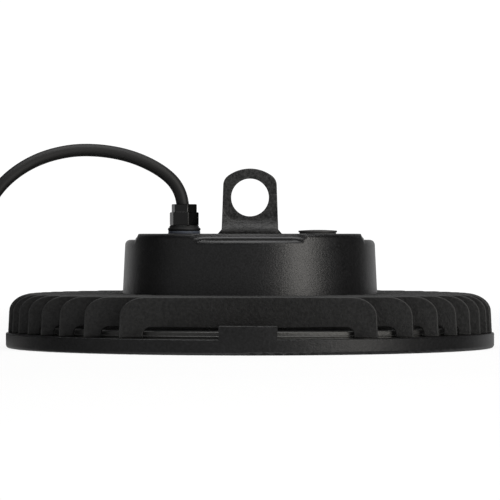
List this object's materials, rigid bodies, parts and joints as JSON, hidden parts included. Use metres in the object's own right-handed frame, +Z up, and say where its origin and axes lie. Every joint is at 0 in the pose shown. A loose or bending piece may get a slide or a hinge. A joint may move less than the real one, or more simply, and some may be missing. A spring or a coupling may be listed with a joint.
{
  "type": "high bay light",
  "caption": "Round LED high bay light with straight parallel cooling fins, a drum-shaped driver housing, a suspension eye, a cable gland with its cord and a domed clear lens.",
  "frame": {"origin": "centre of the bezel's flat underside, on the surface that the light stands on", "axes": "+Z up along the drum's axis towards the eye; the fins run along X; the bezel's tab is at the front, at -Y; the cable gland is at -X"},
  "size_m": [0.4189, 0.3, 0.1251],
  "materials": {
    "powder_coat": "black fine-grained powder coat on cast aluminium",
    "gland_plastic": "black polyamide",
    "washer_plastic": "grey-blue sealing washer",
    "rubber_black": "black rubber",
    "silicone": "grey silicone",
    "lens_clear": "clear polycarbonate",
    "board_white": "white solder mask on an aluminium board",
    "led_yellow": "yellow phosphor",
    "steel": "zinc-plated steel",
    "driver_case": "bare aluminium case",
    "plastic_white": "white polyamide",
    "core_brown": "brown insulation",
    "core_blue": "blue insulation",
    "core_green_yellow": "green and yellow insulation"
  },
  "bodies": {
    "root": {"bezel": "powder_coat", "bezel_screws": "steel", "lens": "lens_clear", "lens_gasket": "silicone", "led_board": "board_white", "leds": "led_yellow", "led_connector": "plastic_white", "board_screws": "steel", "thermal_pad": "silicone", "heat_sink": "powder_coat", "driver_housing": "powder_coat", "housing_gasket": "rubber_black", "housing_screws": "steel", "hook": "powder_coat", "hook_screws": "steel", "hook_washers": "steel", "gland_washer": "washer_plastic", "gland_body": "gland_plastic", "gland_seal": "rubber_black", "gland_nut": "gland_plastic", "gland_locknut": "gland_plastic", "port_cap": "gland_plastic", "port_gasket": "rubber_black", "led_driver": "driver_case", "driver_screws": "steel", "terminal_block": "plastic_white", "earth_screw": "steel", "wire_grommet": "rubber_black", "driver_leads": "rubber_black", "supply_cord": "rubber_black", "cord_coil": "rubber_black", "cord_tie": "gland_plastic", "core_ferrules": "steel", "core_live": "core_brown", "core_neutral": "core_blue", "core_earth": "core_green_yellow"}
  },
  "joints": []
}
